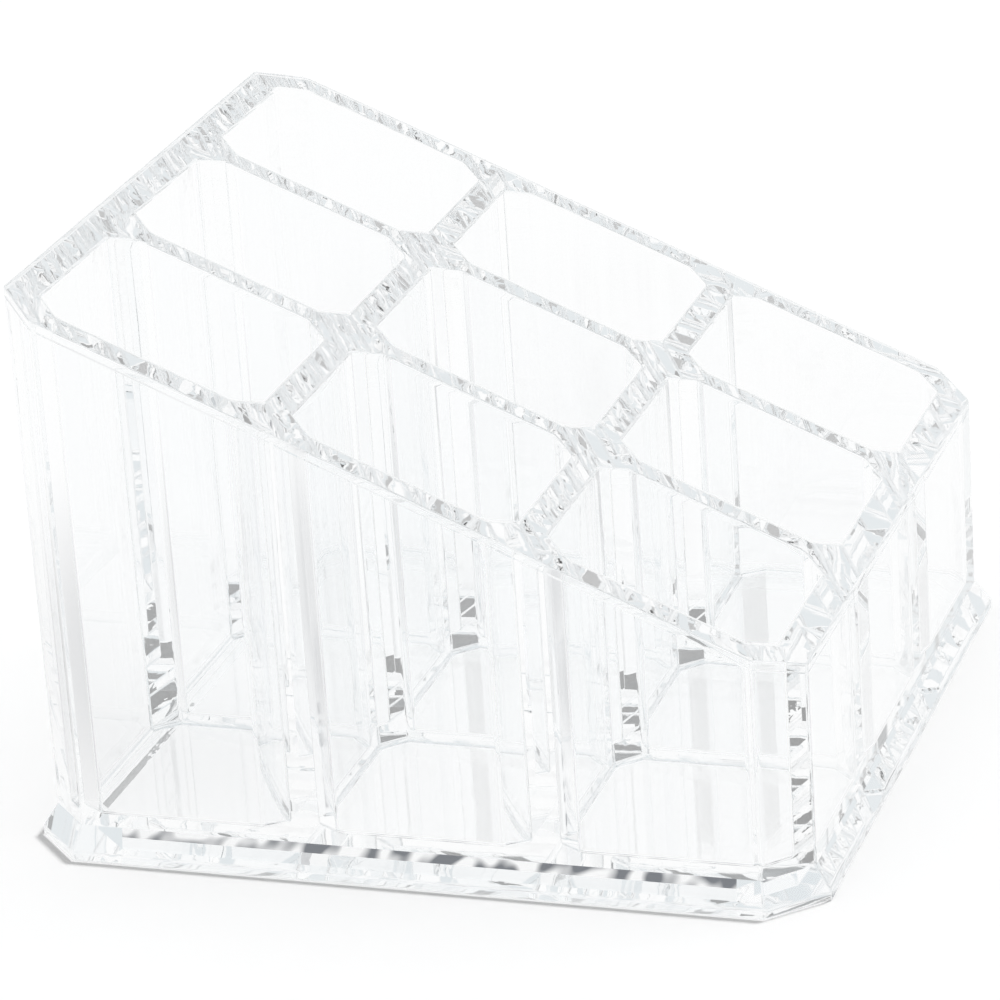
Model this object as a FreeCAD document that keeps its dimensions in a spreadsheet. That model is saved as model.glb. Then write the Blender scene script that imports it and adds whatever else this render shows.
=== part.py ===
"""Clear vanity organizer: nine upright wells under a sloping top, standing on a flared base.

Millimetres, +Z up. The origin is the middle of the base's underside.
+Y is the tall back, -Y the low front, +X the right-hand side seen from the front.
"""
import FreeCAD, Part
import os

import Sketcher

ROWS = ("front", "middle", "back")
COLUMNS = ("left", "middle", "right")
CENTRE = "well_centre"
# Columns and rows beside the casing, with the side or end of the well that faces it.
OUTER_SIDES = {0: -1, len(COLUMNS) - 1: 1}
OUTER_ENDS = {0: -1, len(ROWS) - 1: 1}
# How close two coordinates must be to count as the same.
NEAR = 1e-6

# Driving dimensions, each with what it measures.
SIZES = (
    ("well_width", 24.2, "mouth of a well across its flat sides"),
    ("web_width", 3.1, "clear wall between two neighbouring wells"),
    ("casing_wall", 2.0, "upright outer wall"),
    ("well_leg", 2.65, "leg of a well's 45 degree corner"),
    ("casing_leg", 4.7, "leg of the casing's 45 degree corner"),
    ("well_floor", 1.5, "floor of a well"),
    ("floor_fillet", 0.6, "cove between a well's floor and its walls"),
    ("tray_plate", 2.35, "base plate under the wells"),
    ("plinth_height", 3.6, "rim of the base, where the casing stands"),
    ("foot_edge", 1.0, "upright edge at the foot of the flare"),
    ("flare", 1.8, "how far the foot stands out past the casing"),
    ("foot_ring", 6.0, "width of the ring that the base rests on"),
    ("foot_recess", 1.5, "hollow under the base, inside the ring"),
    ("recess_leg", 4.0, "leg of that hollow's 45 degree corner"),
    ("back_height", 64.0, "top edge at the back"),
    ("front_height", 26.6, "top edge at the front"),
    ("frame_thickness", 1.0, "top frame, measured straight down"),
)

# Sizes that follow from the driving ones.
INSET = "(2 - sqrt(2))"
PITCH = "(Sizes.well_width + Sizes.web_width)"
GRID_HALF = f"({len(COLUMNS)} * {PITCH} / 2)"
BODY_HALF = f"({GRID_HALF} + Sizes.casing_wall)"
FOOT_HALF = f"({BODY_HALF} + Sizes.flare)"
RECESS_HALF = f"({FOOT_HALF} - Sizes.foot_ring)"
INNER_LEG = f"(Sizes.casing_leg - Sizes.casing_wall * {INSET})"
FOOT_LEG = f"(Sizes.casing_leg + Sizes.flare * {INSET})"
FLARE_RISE = "(Sizes.plinth_height - Sizes.foot_edge)"
SLOPE = f"((Sizes.back_height - Sizes.front_height) / (2 * {BODY_HALF}))"
CEILING = "(2 * Sizes.back_height)"


def seat_at(depth):
    """Height of the seat under the top frame at a distance behind the middle."""
    return f"(Sizes.front_height - Sizes.frame_thickness + {SLOPE} * ({BODY_HALF} + {depth}))"


def make_sheet(doc):
    """Put the driving dimensions into a sheet, one alias each."""
    sheet = doc.addObject("Spreadsheet::Sheet", "Sizes")
    for row, (alias, value, note) in enumerate(SIZES, start=1):
        sheet.set(f"A{row}", note)
        sheet.set(f"B{row}", str(value))
        sheet.setAlias(f"B{row}", alias)
    doc.recompute()
    return sheet


def new_body(doc, name):
    """Start a sub-part whose label is the name of its piece."""
    body = doc.addObject("PartDesign::Body", name)
    body.Label = name
    return body


def new_sketch(body, name, role, lift=None):
    """Add a sketch on one of the body's origin planes, lifted along its normal if asked."""
    sketch = body.newObject("Sketcher::SketchObject", name)
    plane = next(item for item in body.Origin.OriginFeatures if item.Role == role)
    sketch.AttachmentSupport = [(plane, "")]
    sketch.MapMode = "FlatFace"
    if lift is not None:
        sketch.setExpression("AttachmentOffset.Base.z", lift)
    return sketch


def add_outline(sketch, points):
    """Draw a closed run of straight lines through the points and give the lines' numbers."""
    ends = [FreeCAD.Vector(x, y, 0) for x, y in points]
    pairs = list(zip(ends, ends[1:] + ends[:1]))
    lines = [sketch.addGeometry(Part.LineSegment(start, end)) for start, end in pairs]
    for line, following in zip(lines, lines[1:] + lines[:1]):
        sketch.addConstraint(Sketcher.Constraint("Coincident", line, 2, following, 1))
    return lines


def bind(sketch, kind, ends, expression):
    """Add a distance between two sketch points and tie it to an expression."""
    index = sketch.addConstraint(Sketcher.Constraint(kind, *ends, 1.0))
    sketch.setExpression(f"Constraints[{index}]", expression)


def square_up(sketch, sides, ends):
    """Keep two lines upright and two level, in an outline centred on the sketch's origin."""
    for line in sides:
        sketch.addConstraint(Sketcher.Constraint("Vertical", line))
    for line in ends:
        sketch.addConstraint(Sketcher.Constraint("Horizontal", line))
    sketch.addConstraint(Sketcher.Constraint("Symmetric", sides[0], 2, sides[1], 2, -1, 1))


def draw_square(sketch, half):
    """Draw a square centred on the sketch's origin."""
    right, back, left, front = add_outline(sketch, ((1, -1), (1, 1), (-1, 1), (-1, -1)))
    square_up(sketch, (left, right), (front, back))
    bind(sketch, "DistanceX", (left, 1, right, 1), f"2 * {half}")
    bind(sketch, "DistanceY", (front, 1, back, 1), f"2 * {half}")


def draw_octagon(sketch, half, leg):
    """Draw a square with 45 degree corners, centred on the sketch's origin."""
    points = ((3, -2), (3, 2), (2, 3), (-2, 3), (-3, 2), (-3, -2), (-2, -3), (2, -3))
    right, first, back, second, left, third, front, fourth = add_outline(sketch, points)
    square_up(sketch, (left, right), (front, back))
    bind(sketch, "DistanceX", (left, 1, right, 1), f"2 * {half}")
    bind(sketch, "DistanceY", (front, 1, back, 1), f"2 * {half}")
    # Each corner line, with the order of its ends that makes both legs positive.
    corners = (
        (first, (2, 1), (1, 2)),
        (second, (2, 1), (2, 1)),
        (third, (1, 2), (2, 1)),
        (fourth, (1, 2), (1, 2)),
    )
    for line, across, along in corners:
        bind(sketch, "DistanceX", (line, across[0], line, across[1]), leg)
        bind(sketch, "DistanceY", (line, along[0], line, along[1]), leg)


def draw_slope(sketch, reach, low, high, ceiling_low, ceiling_high):
    """Draw a four-sided side view between two heights at its front and two at its back."""
    lower, back, upper, front = add_outline(sketch, ((-1, 1), (1, 2), (1, 4), (-1, 3)))
    for line in (back, front):
        sketch.addConstraint(Sketcher.Constraint("Vertical", line))
    bind(sketch, "DistanceX", (-1, 1, back, 1), reach)
    bind(sketch, "DistanceX", (lower, 1, -1, 1), reach)
    for line, height in ((lower, low), (back, high), (upper, ceiling_high), (front, ceiling_low)):
        bind(sketch, "DistanceY", (-1, 1, line, 1), height)


def pad(body, name, sketch, length, both_ways=False, taper=None):
    """Raise a sketch into a solid."""
    feature = body.newObject("PartDesign::Pad", name)
    feature.Profile = sketch
    if both_ways:
        feature.SideType = "Symmetric"
    feature.setExpression("Length", length)
    if taper is not None:
        feature.setExpression("TaperAngle", taper)
    body.Document.recompute()
    return feature


def pocket(body, name, sketch, depth=None, both_ways=False):
    """Cut a sketch out of the body, upwards from its plane or to both sides of it.

    The cut goes right through unless it is given a depth.
    """
    before = body.Shape.Volume
    feature = body.newObject("PartDesign::Pocket", name)
    feature.Profile = sketch
    if depth is None:
        feature.Type = "ThroughAll"
    else:
        feature.setExpression("Length", depth)
    if both_ways:
        feature.SideType = "Symmetric"
    else:
        feature.Reversed = True
    body.Document.recompute()
    if not body.Shape.Volume < before:
        raise RuntimeError(f"{body.Label}: {name} cut nothing")
    return feature


def edges_where(feature, test):
    """Names of the feature's edges whose end points all pass a test."""
    names = []
    for index, edge in enumerate(feature.Shape.Edges, start=1):
        if all(test(vertex.Point) for vertex in edge.Vertexes):
            names.append(f"Edge{index}")
    return names


def bevel_corner(body, feature, side, end, leg):
    """Cut a 45 degree corner off the block's upright edge on the given side and end."""
    box = feature.Shape.BoundBox
    corner = FreeCAD.Vector(side * box.XMax, end * box.YMax, 0)

    def at_corner(point):
        return abs(point.x - corner.x) < NEAR and abs(point.y - corner.y) < NEAR

    bevel = body.newObject("PartDesign::Chamfer", "corner_bevel")
    bevel.Base = (feature, edges_where(feature, at_corner))
    bevel.setExpression("Size", leg)
    body.Document.recompute()


def cut_to_slope(body, reach, depth, base):
    """Cut off what stands above the top frame's seat.

    reach is half the piece's length, depth its place behind the middle, base the height it starts at.
    """
    sketch = new_sketch(body, "slope_sketch", "YZ_Plane")
    low = f"{seat_at(f'({depth} - {reach})')} - {base}"
    high = f"{seat_at(f'({depth} + {reach})')} - {base}"
    draw_slope(sketch, reach, low, high, CEILING, CEILING)
    pocket(body, "slope_cut", sketch, both_ways=True)


def make_base_tray(doc):
    """Flared base: a plate with a raised rim, hollowed a little underneath."""
    body = new_body(doc, "base_tray")
    foot = new_sketch(body, "foot_sketch", "XY_Plane")
    draw_octagon(foot, FOOT_HALF, FOOT_LEG)
    pad(body, "foot", foot, "Sizes.foot_edge")
    flare = new_sketch(body, "flare_sketch", "XY_Plane", "Sizes.foot_edge")
    draw_octagon(flare, FOOT_HALF, FOOT_LEG)
    pad(body, "flared_rim", flare, FLARE_RISE, taper=f"-atan(Sizes.flare / {FLARE_RISE})")
    recess = new_sketch(body, "well_seat_sketch", "XY_Plane", "Sizes.tray_plate")
    draw_octagon(recess, GRID_HALF, INNER_LEG)
    pocket(body, "well_seat", recess)
    hollow = new_sketch(body, "foot_recess_sketch", "XY_Plane")
    draw_octagon(hollow, RECESS_HALF, "Sizes.recess_leg")
    pocket(body, "foot_recess", hollow, depth="Sizes.foot_recess")
    return body


def make_outer_casing(doc):
    """Upright outer wall with angled corners, standing on the base's rim."""
    body = new_body(doc, "outer_casing")
    outside = new_sketch(body, "outside_sketch", "XY_Plane")
    draw_octagon(outside, BODY_HALF, "Sizes.casing_leg")
    pad(body, "outside", outside, "Sizes.back_height")
    inside = new_sketch(body, "inside_sketch", "XY_Plane")
    draw_octagon(inside, GRID_HALF, INNER_LEG)
    pocket(body, "inside", inside)
    cut_to_slope(body, BODY_HALF, "0", "Sizes.plinth_height")
    body.setExpression("Placement.Base.z", "Sizes.plinth_height")
    doc.recompute()
    return body


def well_name(row, column):
    """Name of the well in a row, counted from the front, and a column, counted from the left."""
    if (ROWS[row], COLUMNS[column]) == ("middle", "middle"):
        return CENTRE
    return f"well_{ROWS[row]}_{COLUMNS[column]}"


def make_well(doc, sheet, row, column):
    """One well: a square cell with its own floor and an eight-sided bore."""
    body = new_body(doc, well_name(row, column))
    half_pitch = f"({PITCH} / 2)"
    across = f"({column - (len(COLUMNS) - 1) / 2} * {PITCH})"
    depth = f"({row - (len(ROWS) - 1) / 2} * {PITCH})"
    cell = new_sketch(body, "cell_sketch", "XY_Plane")
    draw_square(cell, half_pitch)
    block = pad(body, "cell", cell, "Sizes.back_height")
    if column in OUTER_SIDES and row in OUTER_ENDS:
        bevel_corner(body, block, OUTER_SIDES[column], OUTER_ENDS[row], INNER_LEG)
    bore_sketch = new_sketch(body, "bore_sketch", "XY_Plane", "Sizes.well_floor")
    draw_octagon(bore_sketch, "(Sizes.well_width / 2)", "Sizes.well_leg")
    bore = pocket(body, "bore", bore_sketch)
    cove = body.newObject("PartDesign::Fillet", "floor_cove")
    cove.Base = (bore, edges_where(bore, lambda point: abs(point.z - sheet.well_floor) < NEAR))
    cove.setExpression("Radius", "Sizes.floor_fillet")
    doc.recompute()
    cut_to_slope(body, half_pitch, depth, "Sizes.tray_plate")
    body.setExpression("Placement.Base.x", across)
    body.setExpression("Placement.Base.y", depth)
    body.setExpression("Placement.Base.z", "Sizes.tray_plate")
    doc.recompute()
    return body


def make_top_frame(doc):
    """Sloping lattice that ties the wells and the casing together."""
    body = new_body(doc, "top_frame")
    side_view = new_sketch(body, "side_sketch", "YZ_Plane")
    heights = ("Sizes.front_height", "Sizes.back_height")
    draw_slope(
        side_view,
        BODY_HALF,
        f"{heights[0]} - Sizes.frame_thickness",
        f"{heights[1]} - Sizes.frame_thickness",
        *heights,
    )
    pad(body, "plate", side_view, f"2 * {BODY_HALF}", both_ways=True)
    trim = new_sketch(body, "corner_sketch", "XY_Plane")
    draw_octagon(trim, BODY_HALF, "Sizes.casing_leg")
    draw_square(trim, f"2 * {BODY_HALF}")
    pocket(body, "corner_trim", trim)
    mouth_sketch = new_sketch(body, "mouth_sketch", "XY_Plane")
    draw_octagon(mouth_sketch, "(Sizes.well_width / 2)", "Sizes.well_leg")
    mouth_sketch.setExpression("AttachmentOffset.Base.x", f"-{(len(COLUMNS) - 1) / 2} * {PITCH}")
    mouth_sketch.setExpression("AttachmentOffset.Base.y", f"-{(len(ROWS) - 1) / 2} * {PITCH}")
    mouth = pocket(body, "mouth", mouth_sketch)
    grid = body.newObject("PartDesign::LinearPattern", "mouth_grid")
    grid.Originals = [mouth]
    grid.Direction = (mouth_sketch, ["H_Axis"])
    grid.Occurrences = len(COLUMNS)
    grid.setExpression("Length", f"{len(COLUMNS) - 1} * {PITCH}")
    grid.Direction2 = (mouth_sketch, ["V_Axis"])
    grid.Occurrences2 = len(ROWS)
    grid.setExpression("Length2", f"{len(ROWS) - 1} * {PITCH}")
    body.Tip = grid
    doc.recompute()
    return body


def check(doc, bodies):
    """Stop if anything in the document failed to build."""
    for item in doc.Objects:
        if "Invalid" in item.State or "Error" in item.State:
            raise RuntimeError(f"{item.Label} failed: {item.State}")
    for body in bodies:
        if body.Shape.isNull() or not body.Shape.isValid() or len(body.Shape.Solids) != 1:
            raise RuntimeError(f"{body.Label} is not one sound solid")


def main():
    """Build every piece, check it and write it to its own file."""
    doc = FreeCAD.newDocument("organizer")
    sheet = make_sheet(doc)
    bodies = [make_base_tray(doc), make_outer_casing(doc)]
    for row in range(len(ROWS)):
        for column in range(len(COLUMNS)):
            bodies.append(make_well(doc, sheet, row, column))
    bodies.append(make_top_frame(doc))
    doc.recompute()
    check(doc, bodies)
    os.makedirs("parts", exist_ok=True)
    for body in bodies:
        body.Shape.exportStep(f"parts/{body.Label}.step")
        box = body.Shape.BoundBox
        print(f"{body.Label}: {body.Shape.Volume / 1000:.2f} cm3, z {box.ZMin:.2f} to {box.ZMax:.2f}")


main()
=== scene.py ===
"""Clear vanity organizer: the looks of its bonded pieces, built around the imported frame."""
import logging
import math
from collections.abc import Callable, Iterator
from contextlib import contextmanager
from dataclasses import dataclass, field
from enum import Enum
from functools import cached_property

import bmesh
import bpy
from mathutils import Matrix, Vector


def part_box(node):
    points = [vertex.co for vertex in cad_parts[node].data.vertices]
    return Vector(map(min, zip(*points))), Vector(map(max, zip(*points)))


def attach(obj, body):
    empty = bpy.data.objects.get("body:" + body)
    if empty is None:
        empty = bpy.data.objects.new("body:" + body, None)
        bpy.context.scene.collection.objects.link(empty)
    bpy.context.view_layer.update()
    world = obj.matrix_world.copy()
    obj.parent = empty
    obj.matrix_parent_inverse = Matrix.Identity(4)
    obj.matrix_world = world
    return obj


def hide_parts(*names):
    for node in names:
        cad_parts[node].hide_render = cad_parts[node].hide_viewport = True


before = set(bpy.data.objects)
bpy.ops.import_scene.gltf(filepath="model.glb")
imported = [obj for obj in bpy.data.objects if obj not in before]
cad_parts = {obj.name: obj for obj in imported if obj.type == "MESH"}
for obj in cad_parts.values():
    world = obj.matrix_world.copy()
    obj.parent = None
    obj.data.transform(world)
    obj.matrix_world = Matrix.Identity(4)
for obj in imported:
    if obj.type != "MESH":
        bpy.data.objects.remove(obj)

log = logging.getLogger("organizer")

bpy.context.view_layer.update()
BODY = "root"
Coat = tuple[bpy.types.Material, Callable[[Vector, Vector], bool]]

# Distances in metres, angles in radians, and upright shares of a face's normal
NEAR = 2e-6
CREASE = 0.2
STRAIGHT = 0.01
LEVEL = 0.9
SLOPING = 0.85
STANDING = 0.5

QUARTER_TURN = math.radians(90)
SMOOTH_BELOW = math.radians(35)
WHITE = (1.0, 1.0, 1.0, 1.0)

# How much a 45 degree corner's leg grows while its outline moves outwards by 1
LEG_GROWTH = 2 - math.sqrt(2)


class Row(Enum):
    """Rows of wells, counted from the low front."""

    FRONT = -1
    MIDDLE = 0
    BACK = 1


class Column(Enum):
    """Columns of wells, counted from the left."""

    LEFT = -1
    MIDDLE = 0
    RIGHT = 1


class Pick(Enum):
    """What a test in edit mode picks, with the mesh list that holds it."""

    VERT = "verts"
    EDGE = "edges"
    FACE = "faces"


class Bevel(Enum):
    """Kinds of bevel, with the number of faces across each."""

    CHAMFER = 1
    EDGE = 2
    CORNER = 3
    COVE = 4


@dataclass(frozen=True)
class Plan:
    """Sizes that the pieces share, in metres."""

    well_width: float = 0.0242
    well_leg: float = 0.00265
    well_floor: float = 0.0015
    floor_cove: float = 0.0006
    casing_wall: float = 0.0020
    casing_leg: float = 0.0047
    frame_thickness: float = 0.0010
    corner_softening: float = 0.0003
    edge_softening: float = 0.00025
    seam_groove: float = 0.00012

    @cached_property
    def pitch(self) -> float:
        """Distance between the middles of neighbouring wells."""
        low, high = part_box("well_centre")
        return high.x - low.x

    @cached_property
    def well_base(self) -> float:
        """Height of the wells' undersides."""
        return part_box("well_centre")[0].z

    @cached_property
    def front_height(self) -> float:
        """Height of the top's front edge."""
        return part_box("top_frame")[0].z + self.frame_thickness

    @cached_property
    def back_height(self) -> float:
        """Height of the top's back edge."""
        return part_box("top_frame")[1].z

    @cached_property
    def grid_half(self) -> float:
        """Half the width of the block of wells."""
        return len(Column) * self.pitch / 2

    @cached_property
    def body_half(self) -> float:
        """Half the width of the casing."""
        return self.grid_half + self.casing_wall

    @cached_property
    def inner_leg(self) -> float:
        """Leg of the casing's 45 degree corner on its inside."""
        return self.casing_leg - self.casing_wall * LEG_GROWTH

    def top_at(self, depth: float) -> float:
        """Height of the sloping top.

        Args:
            depth: Distance behind the middle.

        Returns:
            Height above the surface that the base stands on.
        """
        share = (depth + self.body_half) / (2 * self.body_half)
        return self.front_height + (self.back_height - self.front_height) * share

    def seat_at(self, depth: float) -> float:
        """Height of the seat that the top frame is bonded to, at a distance behind the middle."""
        return self.top_at(depth) - self.frame_thickness


PLAN = Plan()


def is_upright(edge: bmesh.types.BMEdge) -> bool:
    """Tell whether an edge stands straight up."""
    run = edge.verts[1].co - edge.verts[0].co
    return abs(run.x) < NEAR and abs(run.y) < NEAR


def is_at_height(edge: bmesh.types.BMEdge, height: float) -> bool:
    """Tell whether an edge lies level at a height."""
    return all(abs(point.co.z - height) < NEAR for point in edge.verts)


def is_along(edge: bmesh.types.BMEdge, height: Callable[[float], float]) -> bool:
    """Tell whether an edge lies on a slope, given by its height at a distance behind the middle."""
    return all(abs(point.co.z - height(point.co.y)) < NEAR for point in edge.verts)


def is_crease(edge: bmesh.types.BMEdge) -> bool:
    """Tell whether two faces meet at an angle in an edge."""
    return edge.calc_face_angle(0) > CREASE


def is_upright_crease(edge: bmesh.types.BMEdge) -> bool:
    """Tell whether an edge stands straight up where two faces meet at an angle."""
    return is_upright(edge) and is_crease(edge)


def is_idle(point: bmesh.types.BMVert) -> bool:
    """Tell whether a point only divides a straight edge.

    Args:
        point: The point to test.

    Returns:
        True for a point that can go without a change of shape.
    """
    if len(point.link_edges) != 2:
        return False
    first, second = (edge.other_vert(point).co - point.co for edge in point.link_edges)
    return first.angle(second) > math.pi - STRAIGHT


class Workpiece:
    """A mesh on the bench, shaped in edit mode and finished with modifiers."""

    FLAT_FACE_WEIGHT = 100

    def __init__(self, item: bpy.types.Object, name: str) -> None:
        """Take up a new object.

        Args:
            item: The object to work on.
            name: The name it gets.
        """
        self.item = item
        item.name = name
        item.data.name = name

    @classmethod
    def block(cls, name: str, low: Vector, high: Vector) -> "Workpiece":
        """Start from a block between two corners.

        Args:
            name: Name of the piece.
            low: Lowest corner.
            high: Highest corner.

        Returns:
            The workpiece.
        """
        bpy.ops.object.select_all(action="DESELECT")
        bpy.ops.mesh.primitive_cube_add(size=1.0, location=(low + high) / 2)
        bpy.context.object.scale = high - low
        bpy.ops.object.transform_apply(location=True, rotation=True, scale=True)
        return cls(bpy.context.object, name)

    @classmethod
    def octagon(cls, name: str, half: float, leg: float, low: float, high: float) -> "Workpiece":
        """Start from a square block whose upright edges are cut off at 45 degrees.

        Args:
            name: Name of the piece.
            half: Half its width.
            leg: Leg of each cut corner.
            low: Height of its underside.
            high: Height of its top.

        Returns:
            The workpiece.
        """
        piece = cls.block(name, Vector((-half, -half, low)), Vector((half, half, high)))
        piece.soften(is_upright, leg, Bevel.CHAMFER)
        return piece

    def hold(self) -> None:
        """Make this the only selected object, and the active one."""
        bpy.ops.object.select_all(action="DESELECT")
        self.item.select_set(True)
        bpy.context.view_layer.objects.active = self.item

    @contextmanager
    def picked(self, kind: Pick, test: Callable[..., bool]) -> Iterator[None]:
        """Hold what passes a test selected in edit mode.

        Args:
            kind: Whether points, edges or faces are tested.
            test: Picks them.

        Yields:
            Nothing, while they are selected.
        """
        self.hold()
        bpy.ops.object.mode_set(mode="EDIT")
        bpy.ops.mesh.select_mode(type=kind.name)
        bpy.ops.mesh.select_all(action="DESELECT")
        mesh = bmesh.from_edit_mesh(self.item.data)
        mesh.normal_update()
        for element in getattr(mesh, kind.value):
            element.select_set(test(element))
        bmesh.update_edit_mesh(self.item.data)
        yield
        bpy.ops.object.mode_set(mode="OBJECT")

    def soften(self, test: Callable[[bmesh.types.BMEdge], bool], width: float, kind: Bevel) -> None:
        """Bevel the edges that pass a test.

        Args:
            test: Picks the edges.
            width: How far the bevel reaches from each edge.
            kind: Kind of bevel.
        """
        with self.picked(Pick.EDGE, test):
            bpy.ops.mesh.bevel(
                offset=width, offset_type="OFFSET", segments=kind.value, affect="EDGES", clamp_overlap=False
            )

    def slide_points(self, test: Callable[[Vector], bool], height: Callable[[float], float]) -> None:
        """Slide points up or down to a height that depends on how far back they are.

        Args:
            test: Picks the points.
            height: Height for a distance behind the middle.
        """
        for point in self.item.data.vertices:
            if test(point.co):
                point.co.z = height(point.co.y)

    def shift(self, offset: Vector) -> None:
        """Move the piece, with its place kept in its mesh.

        Args:
            offset: How far it moves.
        """
        self.hold()
        bpy.ops.transform.translate(value=offset)
        bpy.ops.object.transform_apply(location=True, rotation=True, scale=True)

    def copy(self, name: str) -> "Workpiece":
        """Copy the piece with a mesh of its own.

        Args:
            name: Name of the copy.

        Returns:
            The copy.
        """
        self.hold()
        bpy.ops.object.duplicate(linked=False)
        return Workpiece(bpy.context.object, name)

    def cut(self, cutter: "Workpiece") -> None:
        """Cut another workpiece's shape out of this one.

        Args:
            cutter: The other workpiece, which is used up.
        """
        self.hold()
        cut = self.item.modifiers.new("cut", "BOOLEAN")
        cut.operation = "DIFFERENCE"
        cut.solver = "EXACT"
        cut.object = cutter.item
        bpy.ops.object.modifier_apply(modifier=cut.name)
        cutter.discard()

    def discard(self) -> None:
        """Delete the piece."""
        self.hold()
        bpy.ops.object.delete()

    def polish(self) -> None:
        """Shade rounded edges smoothly and keep flat faces flat."""
        self.hold()
        bpy.ops.object.shade_smooth_by_angle(angle=SMOOTH_BELOW)
        flat = self.item.modifiers.new("flat_faces", "WEIGHTED_NORMAL")
        flat.keep_sharp = True
        flat.weight = self.FLAT_FACE_WEIGHT
        bpy.ops.object.modifier_apply(modifier=flat.name)

    def dress(self, base: bpy.types.Material, *coats: Coat) -> None:
        """Give the piece its materials.

        Args:
            base: Material of every face that no coat takes.
            coats: Further materials, each with the test that picks its faces by middle and normal.
        """
        self.item.data.materials.clear()
        self.item.data.materials.append(base)
        for index, (material, picks) in enumerate(coats, start=1):
            self.item.data.materials.append(material)
            for face in self.item.data.polygons:
                if picks(face.center, face.normal):
                    face.material_index = index

    def hand_over(self, node: str) -> None:
        """Let the piece stand for a node of the frame.

        Args:
            node: Name of the node.
        """
        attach(self.item, BODY)
        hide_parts(node)
        log.info("%s: %d faces", self.item.name, len(self.item.data.polygons))


def math_node(tree: bpy.types.NodeTree, operation: str) -> bpy.types.Node:
    """Add a node that works out a value.

    Args:
        tree: The node tree.
        operation: What the node does.

    Returns:
        The node.
    """
    node = tree.nodes.new("ShaderNodeMath")
    node.operation = operation
    return node


def combined(
    tree: bpy.types.NodeTree, operation: str, first: bpy.types.NodeSocket, second: bpy.types.NodeSocket
) -> bpy.types.NodeSocket:
    """Add a node that combines two values.

    Args:
        tree: The node tree.
        operation: How they are combined.
        first: One value.
        second: The other value.

    Returns:
        A socket with the result.
    """
    node = math_node(tree, operation)
    tree.links.new(first, node.inputs[0])
    tree.links.new(second, node.inputs[1])
    return node.outputs[0]


class MouldRipple:
    """Shader group for the faint waves and haze that a mould leaves in clear plastic."""

    NAME = "mould_ripple"
    INPUTS = {"Wave Size": 0.002, "Upright Stretch": 1.0, "Least Haze": 0.0, "Most Haze": 0.03}
    OUTPUTS = ("Height", "Haze")
    WAVE_DETAIL = 2.0
    WAVE_ROUGHNESS = 0.45
    WAVE_DISTORTION = 0.6
    CLOUDS_PER_METRE = 90.0
    CLOUD_DETAIL = 3.0
    CLEAR_BELOW = 0.35
    HAZY_ABOVE = 0.75

    def __init__(self) -> None:
        """Build the group once."""
        self.tree = bpy.data.node_groups.new(self.NAME, "ShaderNodeTree")
        self._sockets()
        self._nodes()

    def _sockets(self) -> None:
        """Name what goes in and what comes out."""
        face = self.tree.interface
        for name, value in self.INPUTS.items():
            face.new_socket(name=name, in_out="INPUT", socket_type="NodeSocketFloat").default_value = value
        for name in self.OUTPUTS:
            face.new_socket(name=name, in_out="OUTPUT", socket_type="NodeSocketFloat")

    def _nodes(self) -> None:
        """Wire waves and haze from the piece's own coordinates."""
        nodes, links = self.tree.nodes, self.tree.links
        given = nodes.new("NodeGroupInput")
        result = nodes.new("NodeGroupOutput")
        place = nodes.new("ShaderNodeTexCoord")
        stretch = nodes.new("ShaderNodeCombineXYZ")
        flatten = math_node(self.tree, "DIVIDE")
        scaled = nodes.new("ShaderNodeVectorMath")
        waves = nodes.new("ShaderNodeTexNoise")
        per_metre = math_node(self.tree, "DIVIDE")
        clouds = nodes.new("ShaderNodeTexNoise")
        haze = nodes.new("ShaderNodeMapRange")
        flatten.inputs[0].default_value = 1.0
        per_metre.inputs[0].default_value = 1.0
        scaled.operation = "MULTIPLY"
        stretch.inputs["X"].default_value = 1.0
        stretch.inputs["Y"].default_value = 1.0
        waves.inputs["Detail"].default_value = self.WAVE_DETAIL
        waves.inputs["Roughness"].default_value = self.WAVE_ROUGHNESS
        waves.inputs["Distortion"].default_value = self.WAVE_DISTORTION
        clouds.inputs["Scale"].default_value = self.CLOUDS_PER_METRE
        clouds.inputs["Detail"].default_value = self.CLOUD_DETAIL
        haze.inputs["From Min"].default_value = self.CLEAR_BELOW
        haze.inputs["From Max"].default_value = self.HAZY_ABOVE
        links.new(given.outputs["Upright Stretch"], flatten.inputs[1])
        links.new(flatten.outputs[0], stretch.inputs["Z"])
        links.new(place.outputs["Object"], scaled.inputs[0])
        links.new(stretch.outputs[0], scaled.inputs[1])
        links.new(scaled.outputs[0], waves.inputs["Vector"])
        links.new(given.outputs["Wave Size"], per_metre.inputs[1])
        links.new(per_metre.outputs[0], waves.inputs["Scale"])
        links.new(waves.outputs["Fac"], result.inputs["Height"])
        links.new(place.outputs["Object"], clouds.inputs["Vector"])
        links.new(clouds.outputs["Fac"], haze.inputs["Value"])
        links.new(given.outputs["Least Haze"], haze.inputs["To Min"])
        links.new(given.outputs["Most Haze"], haze.inputs["To Max"])
        links.new(haze.outputs[0], result.inputs["Haze"])


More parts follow.
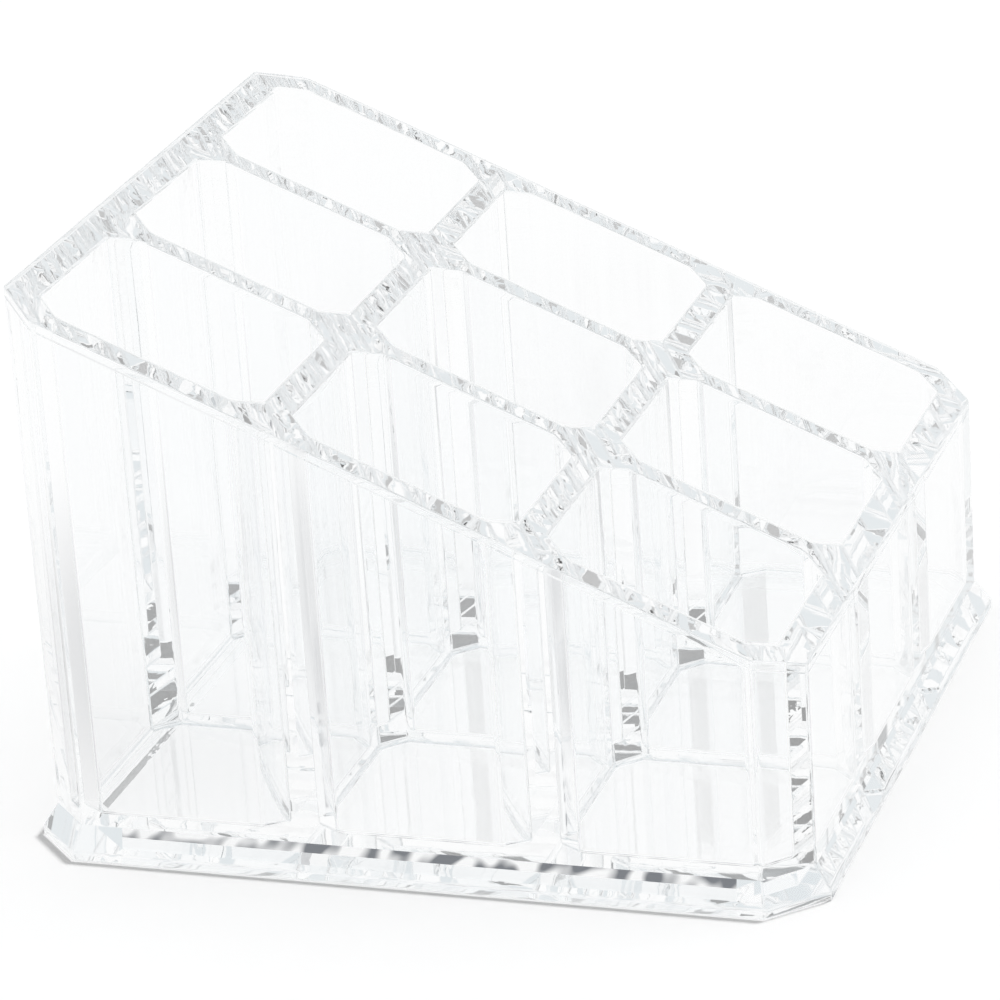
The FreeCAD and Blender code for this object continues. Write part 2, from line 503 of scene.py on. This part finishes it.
@dataclass(frozen=True)
class ClearPlastic:
    """Clear, colourless moulded plastic with a polished face."""

    name: str
    tint: tuple[float, float, float] = (0.99, 0.994, 0.996)
    index: float = 1.49
    wave_size: float = 0.004
    wave_depth: float = 0.00002
    upright_stretch: float = 1.0
    least_haze: float = 0.0
    most_haze: float = 0.02
    lamp_tint: float = 0.993

    def make(self, ripple: MouldRipple) -> bpy.types.Material:
        """Build the material.

        Args:
            ripple: The group that all clear finishes share.

        Returns:
            The material.
        """
        material = bpy.data.materials.new(self.name)
        material.use_nodes = True
        nodes, links = material.node_tree.nodes, material.node_tree.links
        nodes.clear()
        waves = nodes.new("ShaderNodeGroup")
        waves.node_tree = ripple.tree
        waves.inputs["Wave Size"].default_value = self.wave_size
        waves.inputs["Upright Stretch"].default_value = self.upright_stretch
        waves.inputs["Least Haze"].default_value = self.least_haze
        waves.inputs["Most Haze"].default_value = self.most_haze
        bump = nodes.new("ShaderNodeBump")
        bump.inputs["Strength"].default_value = 1.0
        bump.inputs["Distance"].default_value = self.wave_depth
        plastic = nodes.new("ShaderNodeBsdfPrincipled")
        plastic.inputs["Base Color"].default_value = (*self.tint, 1.0)
        plastic.inputs["Transmission Weight"].default_value = 1.0
        plastic.inputs["IOR"].default_value = self.index
        passing = nodes.new("ShaderNodeBsdfTransparent")
        passing.inputs["Color"].default_value = (self.lamp_tint, self.lamp_tint, self.lamp_tint, 1.0)
        path = nodes.new("ShaderNodeLightPath")
        mixed = nodes.new("ShaderNodeMixShader")
        output = nodes.new("ShaderNodeOutputMaterial")
        links.new(waves.outputs["Height"], bump.inputs["Height"])
        links.new(waves.outputs["Haze"], plastic.inputs["Roughness"])
        links.new(bump.outputs["Normal"], plastic.inputs["Normal"])
        links.new(path.outputs["Is Shadow Ray"], mixed.inputs["Fac"])
        links.new(plastic.outputs["BSDF"], mixed.inputs[1])
        links.new(passing.outputs["BSDF"], mixed.inputs[2])
        links.new(mixed.outputs["Shader"], output.inputs["Surface"])
        return material


@dataclass(frozen=True)
class BondedSeam:
    """A welded face between two clear pieces, which light crosses without bending."""

    name: str = "bonded_seam"

    def make(self) -> bpy.types.Material:
        """Build the material.

        Returns:
            The material.
        """
        material = bpy.data.materials.new(self.name)
        material.use_nodes = True
        seam = material.node_tree.nodes["Principled BSDF"]
        seam.inputs["Alpha"].default_value = 0.0
        return material


@dataclass(frozen=True)
class Finishes:
    """The materials of the organizer."""

    wall: bpy.types.Material
    top: bpy.types.Material
    foot: bpy.types.Material
    foot_edge: bpy.types.Material
    seam: bpy.types.Material

    @classmethod
    def make(cls) -> "Finishes":
        """Build every finish once.

        Returns:
            The finishes.
        """
        ripple = MouldRipple()
        wall = ClearPlastic("clear_wall", upright_stretch=8.0, wave_depth=0.000002, most_haze=0.004)
        top = ClearPlastic("clear_top", wave_size=0.005, wave_depth=0.00003)
        foot = ClearPlastic("clear_foot", wave_size=0.006, wave_depth=0.000015, most_haze=0.01)
        foot_edge = ClearPlastic("clear_foot_edge", wave_size=0.006, wave_depth=0.000015, lamp_tint=0.1)
        clear = (plastic.make(ripple) for plastic in (wall, top, foot, foot_edge))
        return cls(*clear, BondedSeam().make())


@dataclass
class BaseTray:
    """Flared foot: a plate with a raised rim that wells and casing are bonded to."""

    foot_edge: float = 0.0010
    flare: float = 0.0018
    plate: float = 0.00235
    foot_ring: float = 0.0060
    foot_recess: float = 0.0015
    recess_leg: float = 0.0040
    rim: float = field(init=False)

    def __post_init__(self) -> None:
        """Take the rim's height from the frame."""
        self.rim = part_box("base_tray")[1].z

    @property
    def recess_half(self) -> float:
        """Half the width of the hollow under the foot."""
        return PLAN.body_half + self.flare - self.foot_ring

    def build(self) -> Workpiece:
        """Model the tray.

        Returns:
            The finished mesh.
        """
        foot_half = PLAN.body_half + self.flare
        foot_leg = PLAN.casing_leg + self.flare * LEG_GROWTH
        tray = Workpiece.octagon("base_tray_clear", foot_half, foot_leg, 0.0, self.foot_edge)
        with tray.picked(Pick.FACE, lambda face: face.normal.z > LEVEL):
            bpy.ops.mesh.inset(thickness=self.flare, depth=self.rim - self.foot_edge, use_even_offset=True)
            bpy.ops.mesh.inset(thickness=PLAN.casing_wall, use_even_offset=True)
            bpy.ops.mesh.extrude_region_move(TRANSFORM_OT_translate={"value": (0, 0, self.plate - self.rim)})
        depth = self.foot_recess
        tray.cut(Workpiece.octagon("foot_recess", self.recess_half, self.recess_leg, -depth, depth))
        tray.soften(self._is_outer_edge, PLAN.edge_softening, Bevel.EDGE)
        tray.polish()
        return tray

    def _is_outer_edge(self, edge: bmesh.types.BMEdge) -> bool:
        """Tell whether an edge belongs to the flare or the upright edge below it."""
        outside = all(self._on_outside(point.co) for point in edge.verts)
        return outside and not is_at_height(edge, self.rim) and is_crease(edge)

    def _on_corner(self, point: Vector) -> bool:
        """Tell whether a point lies on or outside the casing's cut corner."""
        return abs(point.x) + abs(point.y) > 2 * PLAN.body_half - PLAN.casing_leg - NEAR

    def is_bonded(self, middle: Vector, normal: Vector) -> bool:
        """Tell whether a face meets the casing or a well.

        Args:
            middle: Middle of the face.
            normal: Its normal.

        Returns:
            True for a welded face.
        """
        inside = max(abs(middle.x), abs(middle.y)) < PLAN.body_half and not self._on_corner(middle)
        on_rim = abs(middle.z - self.rim) < NEAR and normal.z > LEVEL
        return on_rim or (inside and middle.z > self.plate - NEAR)

    def is_foot_edge(self, middle: Vector, normal: Vector) -> bool:
        """Tell whether a face belongs to the upright edge below the flare."""
        return middle.z < self.foot_edge and abs(normal.z) < STANDING and self._on_outside(middle)

    def _on_outside(self, point: Vector) -> bool:
        """Tell whether a point lies outside the casing."""
        return max(abs(point.x), abs(point.y)) > PLAN.body_half - NEAR or self._on_corner(point)


@dataclass
class OuterCasing:
    """Upright outer wall with angled corners."""

    seam_groove: float = PLAN.seam_groove

    def build(self) -> Workpiece:
        """Model the casing.

        Returns:
            The finished mesh.
        """
        low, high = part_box("outer_casing")
        casing = Workpiece.octagon("outer_casing_clear", PLAN.body_half, PLAN.casing_leg, low.z, high.z)
        with casing.picked(Pick.FACE, lambda face: abs(face.normal.z) > LEVEL):
            bpy.ops.mesh.inset(thickness=PLAN.casing_wall, use_even_offset=True)
            bpy.ops.mesh.bridge_edge_loops()
        casing.soften(self._is_upright_edge, PLAN.corner_softening, Bevel.CORNER)
        casing.slide_points(lambda point: point.z > high.z - NEAR, PLAN.seat_at)
        casing.soften(self._is_top_edge, self.seam_groove, Bevel.CHAMFER)
        casing.polish()
        return casing

    def _is_outside(self, point: Vector) -> bool:
        """Tell whether a point lies on the outside of the wall.

        Args:
            point: The point to test.

        Returns:
            True beyond the middle of the wall's thickness.
        """
        middle_wall = PLAN.body_half - PLAN.casing_wall / 2
        middle_leg = (PLAN.casing_leg + PLAN.inner_leg) / 2
        reach = max(abs(point.x), abs(point.y))
        return reach > middle_wall or abs(point.x) + abs(point.y) > 2 * middle_wall - middle_leg

    def _is_upright_edge(self, edge: bmesh.types.BMEdge) -> bool:
        """Tell whether an edge stands at an outer corner."""
        return is_upright(edge) and self._is_outside(edge.verts[0].co)

    def _is_top_edge(self, edge: bmesh.types.BMEdge) -> bool:
        """Tell whether an edge runs round the outside of the seat."""
        outside = all(self._is_outside(point.co) for point in edge.verts)
        return outside and is_along(edge, PLAN.seat_at) and is_crease(edge)

    def is_bonded(self, middle: Vector, normal: Vector) -> bool:
        """Tell whether a face meets the tray, a well or the top frame."""
        return abs(normal.z) > SLOPING or not self._is_outside(middle)


@dataclass
class Well:
    """One open-topped cell of the block, with its own floor."""

    row: Row
    column: Column

    @property
    def node(self) -> str:
        """Name of the node that the well stands for.

        Returns:
            The name in the frame.
        """
        if self.row is Row.MIDDLE and self.column is Column.MIDDLE:
            return "well_centre"
        return f"well_{self.row.name.lower()}_{self.column.name.lower()}"

    @property
    def middle(self) -> Vector:
        """Middle of the well in plan."""
        return Vector((self.column.value * PLAN.pitch, self.row.value * PLAN.pitch, 0.0))

    @staticmethod
    def pattern() -> Workpiece:
        """Model the cell that every well is copied from.

        Returns:
            The cell, in the middle of the grid and with a level top.
        """
        half = PLAN.pitch / 2
        top = PLAN.back_height
        floor = PLAN.well_base + PLAN.well_floor
        low, high = Vector((-half, -half, PLAN.well_base)), Vector((half, half, top))
        cell = Workpiece.block("well_pattern", low, high)
        with cell.picked(Pick.FACE, lambda face: face.normal.z > LEVEL):
            bpy.ops.mesh.inset(thickness=(PLAN.pitch - PLAN.well_width) / 2, use_even_offset=True)
            bpy.ops.mesh.extrude_region_move(TRANSFORM_OT_translate={"value": (0, 0, floor - top)})

        def is_bore_edge(edge: bmesh.types.BMEdge) -> bool:
            """Tell whether an edge stands in the bore."""
            reach = max(max(abs(point.co.x), abs(point.co.y)) for point in edge.verts)
            return is_upright(edge) and reach < half - NEAR

        cell.soften(is_bore_edge, PLAN.well_leg, Bevel.CHAMFER)
        cell.soften(is_bore_edge, PLAN.corner_softening, Bevel.EDGE)
        cell.soften(lambda edge: is_at_height(edge, floor), PLAN.floor_cove, Bevel.COVE)
        return cell

    def build(self, pattern: Workpiece) -> Workpiece:
        """Model the well from the pattern.

        Args:
            pattern: The cell to copy.

        Returns:
            The finished mesh.
        """
        well = pattern.copy(f"{self.node}_clear")
        well.shift(self.middle)
        if self.row is not Row.MIDDLE and self.column is not Column.MIDDLE:
            well.soften(self._is_outer_corner, PLAN.inner_leg, Bevel.CHAMFER)
        well.slide_points(lambda point: point.z > PLAN.back_height - NEAR, PLAN.seat_at)
        well.polish()
        return well

    def _is_outer_corner(self, edge: bmesh.types.BMEdge) -> bool:
        """Tell whether an edge lies in the casing's angled corner."""
        point = edge.verts[0].co
        return is_upright(edge) and min(abs(point.x), abs(point.y)) > PLAN.grid_half - NEAR

    def is_bonded(self, middle: Vector, normal: Vector) -> bool:
        """Tell whether a face meets a neighbour, and isn't in the bore.

        Args:
            middle: Middle of the face.
            normal: Its normal, which every test of faces is given. It is not used here.

        Returns:
            True for a welded face.
        """
        from_axis = middle - self.middle
        in_cell = max(abs(from_axis.x), abs(from_axis.y)) < PLAN.pitch / 2 - NEAR
        in_corner = abs(middle.x) + abs(middle.y) < 2 * PLAN.grid_half - PLAN.inner_leg - NEAR
        under_seat = middle.z < PLAN.seat_at(middle.y) - NEAR
        above_base = middle.z > PLAN.well_base + NEAR
        return not (in_cell and in_corner and under_seat and above_base)


@dataclass
class TopFrame:
    """Sloping lattice that closes the block round its nine mouths."""

    seam_groove: float = PLAN.seam_groove

    def lines(self) -> list[float]:
        """Places of the lattice's lines across the top, from one side to the other.

        Returns:
            Outer edges, mouth edges, mouth middles and the lines between mouths.
        """
        mouth = PLAN.well_width / 2
        places = [-PLAN.body_half, PLAN.body_half, -PLAN.pitch / 2, PLAN.pitch / 2]
        for column in Column:
            middle = column.value * PLAN.pitch
            places += [middle - mouth, middle, middle + mouth]
        return sorted(places)

    def build(self) -> Workpiece:
        """Model the frame.

        Returns:
            The finished mesh.
        """
        lines = self.lines()
        count = len(lines) - 1
        bpy.ops.object.select_all(action="DESELECT")
        bpy.ops.mesh.primitive_grid_add(x_subdivisions=count, y_subdivisions=count, size=count)
        lattice = Workpiece(bpy.context.object, "top_frame_clear")
        for point in lattice.item.data.vertices:
            point.co.x = lines[round(point.co.x + count / 2)]
            point.co.y = lines[round(point.co.y + count / 2)]
        with lattice.picked(Pick.FACE, lambda face: self._in_mouth(face.calc_center_median())):
            bpy.ops.mesh.delete(type="FACE")
        with lattice.picked(Pick.EDGE, self._is_corner_tie):
            bpy.ops.mesh.dissolve_edges(use_verts=False)
        with lattice.picked(Pick.VERT, is_idle):
            bpy.ops.mesh.dissolve_verts()
        with lattice.picked(Pick.FACE, lambda face: True):
            bpy.ops.mesh.extrude_region_move(TRANSFORM_OT_translate={"value": (0, 0, PLAN.frame_thickness)})
        lattice.soften(self._is_mouth_corner, PLAN.well_leg, Bevel.CHAMFER)
        lattice.soften(self._is_outer_corner, PLAN.casing_leg, Bevel.CHAMFER)
        lattice.soften(is_upright_crease, PLAN.corner_softening, Bevel.CORNER)
        lattice.slide_points(lambda point: point.z > PLAN.frame_thickness / 2, PLAN.top_at)
        lattice.slide_points(lambda point: point.z < PLAN.frame_thickness / 2, PLAN.seat_at)
        lattice.soften(self._is_top_edge, PLAN.edge_softening, Bevel.EDGE)
        lattice.soften(self._is_seam_edge, self.seam_groove, Bevel.CHAMFER)
        lattice.polish()
        return lattice

    @staticmethod
    def _nearest_mouth(point: Vector) -> Vector:
        """Find how far a point is from the middle of the mouth that it is nearest to.

        Args:
            point: The point.

        Returns:
            Its distances across and along the top, both positive.
        """
        column = max(Column.LEFT.value, min(Column.RIGHT.value, round(point.x / PLAN.pitch)))
        row = max(Row.FRONT.value, min(Row.BACK.value, round(point.y / PLAN.pitch)))
        return Vector((abs(point.x - column * PLAN.pitch), abs(point.y - row * PLAN.pitch)))

    def _in_mouth(self, point: Vector) -> bool:
        """Tell whether a point lies in a mouth."""
        return max(self._nearest_mouth(point)) < PLAN.well_width / 2

    def _at_mouth_corner(self, point: Vector) -> bool:
        """Tell whether a point lies in the square corner of a mouth."""
        return all(abs(reach - PLAN.well_width / 2) < NEAR for reach in self._nearest_mouth(point))

    def _is_corner_tie(self, edge: bmesh.types.BMEdge) -> bool:
        """Tell whether an edge joins a mouth's corner to a line outside the mouth.

        Args:
            edge: The edge to test.

        Returns:
            True for an edge that the lattice doesn't need.
        """
        from_corner = any(self._at_mouth_corner(point.co) for point in edge.verts)
        middle = self._nearest_mouth((edge.verts[0].co + edge.verts[1].co) / 2)
        return from_corner and max(middle) > PLAN.well_width / 2 + NEAR

    def _is_mouth_corner(self, edge: bmesh.types.BMEdge) -> bool:
        """Tell whether an edge stands in the square corner of a mouth."""
        return is_upright(edge) and self._at_mouth_corner(edge.verts[0].co)

    def _is_outer_corner(self, edge: bmesh.types.BMEdge) -> bool:
        """Tell whether an edge stands in a square outer corner of the frame."""
        point = edge.verts[0].co
        return is_upright(edge) and min(abs(point.x), abs(point.y)) > PLAN.body_half - NEAR

    def _is_top_edge(self, edge: bmesh.types.BMEdge) -> bool:
        """Tell whether an edge rims the top, at a mouth or at the outside."""
        return is_along(edge, PLAN.top_at) and is_crease(edge)

    def _is_seam_edge(self, edge: bmesh.types.BMEdge) -> bool:
        """Tell whether an edge rims the underside at the outside.

        Args:
            edge: The edge to test.

        Returns:
            True for an edge of the seam that shows.
        """
        middle = (edge.verts[0].co + edge.verts[1].co) / 2
        inside = max(abs(middle.x), abs(middle.y)) < PLAN.grid_half
        in_corner = abs(middle.x) + abs(middle.y) < 2 * PLAN.grid_half - PLAN.inner_leg
        return is_along(edge, PLAN.seat_at) and is_crease(edge) and not (inside and in_corner)

    def is_bonded(self, middle: Vector, normal: Vector) -> bool:
        """Tell whether a face lies on the seat."""
        return normal.z < -SLOPING and abs(middle.z - PLAN.seat_at(middle.y)) < NEAR


@dataclass(frozen=True)
class Viewpoint:
    """Where the camera stands, in degrees and metres."""

    azimuth: float = -70.894
    elevation: float = 21.898
    roll: float = -3.928
    distance: float = 0.5457
    target: tuple[float, float, float] = (-0.00175, 0.00187, 0.02735)
    lens_mm: float = 175.07
    sensor_mm: float = 36.0

    def place(self) -> None:
        """Set up the camera."""
        turn, rise, roll = (math.radians(angle) for angle in (self.azimuth, self.elevation, self.roll))
        back = Vector((math.sin(turn) * math.cos(rise), -math.cos(turn) * math.cos(rise), math.sin(rise)))
        level = Vector((math.cos(turn), math.sin(turn), 0.0))
        upward = back.cross(level)
        right = math.cos(roll) * level + math.sin(roll) * upward
        up = math.cos(roll) * upward - math.sin(roll) * level
        lens = bpy.data.cameras.new("camera")
        lens.lens = self.lens_mm
        lens.sensor_width = self.sensor_mm
        camera = bpy.data.objects.new("camera", lens)
        bpy.context.scene.collection.objects.link(camera)
        pose = Matrix((right, up, back)).transposed().to_4x4()
        pose.translation = Vector(self.target) + self.distance * back
        camera.matrix_world = pose
        bpy.context.scene.camera = camera


@dataclass(frozen=True)
class Card:
    """An upright card, in degrees and metres, that clear plastic mirrors and the camera doesn't see."""

    name: str
    azimuth: float
    width: float
    low: float
    high: float
    level: float
    distance: float = 0.9

    def stand(self) -> None:
        """Stand the card up, facing the object."""
        turn = math.radians(self.azimuth)
        bpy.ops.object.select_all(action="DESELECT")
        bpy.ops.mesh.primitive_plane_add(size=1.0, rotation=(QUARTER_TURN, 0.0, turn - QUARTER_TURN))
        card = bpy.context.object
        card.name = self.name
        card.scale = (self.width, self.high - self.low, 1.0)
        card.location = (
            self.distance * math.cos(turn),
            self.distance * math.sin(turn),
            (self.low + self.high) / 2,
        )
        bpy.ops.object.transform_apply(location=True, rotation=True, scale=True)
        card.data.materials.append(self._paper())
        card.visible_camera = False
        card.visible_diffuse = False
        card.visible_shadow = False

    def _paper(self) -> bpy.types.Material:
        """Build the card's own plain tone.

        Returns:
            The material.
        """
        paper = bpy.data.materials.new(self.name)
        paper.use_nodes = True
        nodes, links = paper.node_tree.nodes, paper.node_tree.links
        nodes.clear()
        tone = nodes.new("ShaderNodeEmission")
        tone.inputs["Color"].default_value = (self.level, self.level, self.level, 1.0)
        output = nodes.new("ShaderNodeOutputMaterial")
        links.new(tone.outputs[0], output.inputs["Surface"])
        paper.cycles.emission_sampling = "NONE"
        return paper


@dataclass(frozen=True)
class FloorShade:
    """A soft round shade on the floor that only clear plastic shows, in metres."""

    middle: tuple[float, float, float]
    reach: float
    depth: float

    def add(self, tree: bpy.types.NodeTree, place: bpy.types.Node) -> bpy.types.NodeSocket:
        """Add the shade to the floor's material.

        Args:
            tree: The floor's node tree.
            place: Its Geometry node.

        Returns:
            A socket with the share of light that is lost.
        """
        nodes, links = tree.nodes, tree.links
        reach = nodes.new("ShaderNodeVectorMath")
        reach.operation = "DISTANCE"
        reach.inputs[1].default_value = self.middle
        shade = nodes.new("ShaderNodeMapRange")
        shade.interpolation_type = "SMOOTHSTEP"
        shade.inputs["From Max"].default_value = self.reach
        shade.inputs["To Min"].default_value = self.depth
        shade.inputs["To Max"].default_value = 0.0
        links.new(place.outputs["Position"], reach.inputs[0])
        links.new(reach.outputs["Value"], shade.inputs["Value"])
        return shade.outputs["Result"]


@dataclass(frozen=True)
class Studio:
    """Pale floor, soft light and the surroundings that clear plastic shows, in metres and degrees."""

    hollow_edge: float
    floor_width: float = 12.0
    floor_drop: float = 0.00008
    floor_colour: tuple[float, float, float] = (0.95, 0.95, 0.95)
    floor_glow: float = 0.9
    glow_level: float = 1.05
    ambient: float = 0.55
    sun: float = 2.45
    sun_azimuth: float = -40.0
    sun_rise: float = 45.0
    sun_spread: float = 20.0
    room: tuple[float, float, float] = (0.77, 0.81, 0.83)
    white_below: float = 0.08
    room_above: float = 0.18
    shades: tuple[FloorShade, ...] = (
        FloorShade(middle=(-0.030, 0.092, 0.0), reach=0.070, depth=0.26),
        FloorShade(middle=(-0.054, 0.064, 0.0), reach=0.030, depth=0.38),
        FloorShade(middle=(-0.066, 0.032, 0.0), reach=0.032, depth=0.55),
    )
    shade_colour: tuple[float, float, float] = (0.0, 0.012, 0.035)
    hollow_shade: float = 0.82
    hollow_shade_full: float = 0.0010
    hollow_shade_reach: float = 0.0030
    hollow_patch: float = 0.0035
    patch_detail: float = 1.0
    patch_starts: float = 0.44
    patch_full: float = 0.57
    cards: tuple[Card, ...] = (
        Card("card_behind", azimuth=5.0, width=2.1, low=0.0, high=1.3, level=1.0),
        Card("card_beside", azimuth=78.0, width=0.95, low=0.05, high=0.66, level=1.0),
        Card("card_before", azimuth=178.0, width=0.95, low=0.18, high=0.60, level=0.48),
        Card("card_right_front", azimuth=-50.0, width=0.28, low=0.0, high=0.43, level=0.32, distance=0.8),
        Card("card_right_back", azimuth=46.0, width=0.28, low=0.0, high=0.43, level=0.32, distance=0.8),
    )
    ray_bounces: int = 40
    seams_crossed: int = 256

    def build(self) -> None:
        """Set up floor, surroundings, lamp, cards and ray depth."""
        scene = bpy.context.scene
        scene.view_settings.view_transform = "Standard"
        scene.cycles.max_bounces = self.ray_bounces
        scene.cycles.transmission_bounces = self.ray_bounces
        scene.cycles.glossy_bounces = self.ray_bounces
        scene.cycles.transparent_max_bounces = self.seams_crossed
        self._floor()
        self._surroundings()
        self._lamp()
        for card in self.cards:
            card.stand()

    @staticmethod
    def _mirrored(tree: bpy.types.NodeTree, path: bpy.types.Node) -> bpy.types.NodeSocket:
        """Tell, by a socket that is 1 or 0, whether something is seen through or in clear plastic."""
        return combined(tree, "MAXIMUM", path.outputs["Is Glossy Ray"], path.outputs["Is Transmission Ray"])

    def _floor(self) -> None:
        """Lay a white floor that keeps the object's shadow and glows a little in clear plastic."""
        bpy.ops.object.select_all(action="DESELECT")
        bpy.ops.mesh.primitive_plane_add(size=self.floor_width, location=(0.0, 0.0, -self.floor_drop))
        bpy.ops.object.transform_apply(location=True)
        floor = bpy.context.object
        floor.name = "floor"
        material = bpy.data.materials.new("white_floor")
        material.use_nodes = True
        tree = material.node_tree
        nodes, links = tree.nodes, tree.links
        nodes.clear()
        place = nodes.new("ShaderNodeNewGeometry")
        path = nodes.new("ShaderNodeLightPath")
        shade = self._shade_below(tree, place)
        for spot in self.shades:
            shade = combined(tree, "MAXIMUM", shade, spot.add(tree, place))
        mirrored = self._mirrored(tree, path)
        tone = nodes.new("ShaderNodeMix")
        tone.data_type = "RGBA"
        tone.inputs["A"].default_value = (*self.floor_colour, 1.0)
        tone.inputs["B"].default_value = (*self.shade_colour, 1.0)
        paper = nodes.new("ShaderNodeBsdfDiffuse")
        glow = nodes.new("ShaderNodeEmission")
        glow.inputs["Strength"].default_value = self.glow_level
        glowing = math_node(tree, "MULTIPLY")
        glowing.inputs[1].default_value = self.floor_glow
        mixed = nodes.new("ShaderNodeMixShader")
        output = nodes.new("ShaderNodeOutputMaterial")
        links.new(combined(tree, "MULTIPLY", shade, mirrored), tone.inputs["Factor"])
        links.new(tone.outputs["Result"], paper.inputs["Color"])
        links.new(tone.outputs["Result"], glow.inputs["Color"])
        links.new(mirrored, glowing.inputs[0])
        links.new(glowing.outputs[0], mixed.inputs["Fac"])
        links.new(paper.outputs[0], mixed.inputs[1])
        links.new(glow.outputs[0], mixed.inputs[2])
        links.new(mixed.outputs[0], output.inputs["Surface"])
        material.cycles.emission_sampling = "NONE"
        floor.data.materials.append(material)

    def _shade_below(self, tree: bpy.types.NodeTree, place: bpy.types.Node) -> bpy.types.NodeSocket:
        """Add the patchy shade that lies along the left edge of the hollow under the base.

        Args:
            tree: The floor's node tree.
            place: Its Geometry node.

        Returns:
            A socket with the share of light that is lost.
        """
        nodes, links = tree.nodes, tree.links
        parts = nodes.new("ShaderNodeSeparateXYZ")
        inner = nodes.new("ShaderNodeMapRange")
        inner.interpolation_type = "SMOOTHSTEP"
        inner.inputs["From Min"].default_value = self.hollow_shade_reach - self.hollow_edge
        inner.inputs["From Max"].default_value = self.hollow_shade_full - self.hollow_edge
        outer = math_node(tree, "GREATER_THAN")
        outer.inputs[1].default_value = -self.hollow_edge
        patches = nodes.new("ShaderNodeTexNoise")
        patches.inputs["Scale"].default_value = 1 / self.hollow_patch
        patches.inputs["Detail"].default_value = self.patch_detail
        depth = nodes.new("ShaderNodeMapRange")
        depth.inputs["From Min"].default_value = self.patch_starts
        depth.inputs["From Max"].default_value = self.patch_full
        depth.inputs["To Max"].default_value = self.hollow_shade
        links.new(place.outputs["Position"], parts.inputs[0])
        links.new(parts.outputs["X"], inner.inputs["Value"])
        links.new(parts.outputs["X"], outer.inputs[0])
        links.new(place.outputs["Position"], patches.inputs["Vector"])
        links.new(patches.outputs["Fac"], depth.inputs["Value"])
        band = combined(tree, "MULTIPLY", inner.outputs["Result"], outer.outputs[0])
        return combined(tree, "MULTIPLY", band, depth.outputs["Result"])

    def _surroundings(self) -> None:
        """Surround the object with white for the camera and a pale room for clear plastic."""
        world = bpy.data.worlds.new("studio")
        bpy.context.scene.world = world
        world.use_nodes = True
        tree = world.node_tree
        nodes, links = tree.nodes, tree.links
        nodes.clear()
        place = nodes.new("ShaderNodeTexCoord")
        parts = nodes.new("ShaderNodeSeparateXYZ")
        path = nodes.new("ShaderNodeLightPath")
        mirrored = self._mirrored(tree, path)
        fall = nodes.new("ShaderNodeValToRGB")
        stops = fall.color_ramp.elements
        stops[0].position, stops[0].color = self.white_below, WHITE
        stops[1].position, stops[1].color = self.room_above, (*self.room, 1.0)
        light = nodes.new("ShaderNodeBackground")
        light.inputs["Color"].default_value = WHITE
        light.inputs["Strength"].default_value = self.ambient
        sight = nodes.new("ShaderNodeBackground")
        mixed = nodes.new("ShaderNodeMixShader")
        output = nodes.new("ShaderNodeOutputWorld")
        links.new(place.outputs["Generated"], parts.inputs[0])
        links.new(combined(tree, "MULTIPLY", parts.outputs["Z"], mirrored), fall.inputs["Fac"])
        links.new(fall.outputs["Color"], sight.inputs["Color"])
        seen = combined(tree, "MAXIMUM", mirrored, path.outputs["Is Camera Ray"])
        links.new(seen, mixed.inputs["Fac"])
        links.new(light.outputs[0], mixed.inputs[1])
        links.new(sight.outputs[0], mixed.inputs[2])
        links.new(mixed.outputs[0], output.inputs["Surface"])

    def _lamp(self) -> None:
        """Hang one broad, soft and far lamp, beyond the object as the camera sees it."""
        turn, rise = math.radians(self.sun_azimuth), math.radians(self.sun_rise)
        toward = Vector((math.cos(turn) * math.cos(rise), math.sin(turn) * math.cos(rise), math.sin(rise)))
        lamp = bpy.data.lights.new("soft_lamp", "SUN")
        lamp.energy = self.sun
        lamp.angle = math.radians(self.sun_spread)
        item = bpy.data.objects.new("soft_lamp", lamp)
        bpy.context.scene.collection.objects.link(item)
        item.location = toward
        item.rotation_euler = toward.to_track_quat("Z", "Y").to_euler()
        item.visible_glossy = False
        item.visible_transmission = False


def main() -> None:
    """Build the organizer and its studio."""
    logging.basicConfig(level=logging.INFO, format="%(name)s: %(message)s")
    finishes = Finishes.make()
    tray = BaseTray()
    piece = tray.build()
    piece.dress(finishes.foot, (finishes.seam, tray.is_bonded), (finishes.foot_edge, tray.is_foot_edge))
    piece.hand_over("base_tray")
    casing = OuterCasing()
    piece = casing.build()
    piece.dress(finishes.wall, (finishes.seam, casing.is_bonded))
    piece.hand_over("outer_casing")
    pattern = Well.pattern()
    for row in Row:
        for column in Column:
            well = Well(row, column)
            piece = well.build(pattern)
            piece.dress(finishes.wall, (finishes.seam, well.is_bonded))
            piece.hand_over(well.node)
    pattern.discard()
    top = TopFrame()
    piece = top.build()
    piece.dress(finishes.top, (finishes.seam, top.is_bonded))
    piece.hand_over("top_frame")
    Viewpoint().place()
    Studio(hollow_edge=tray.recess_half).build()


if __name__ == "__main__":
    main()
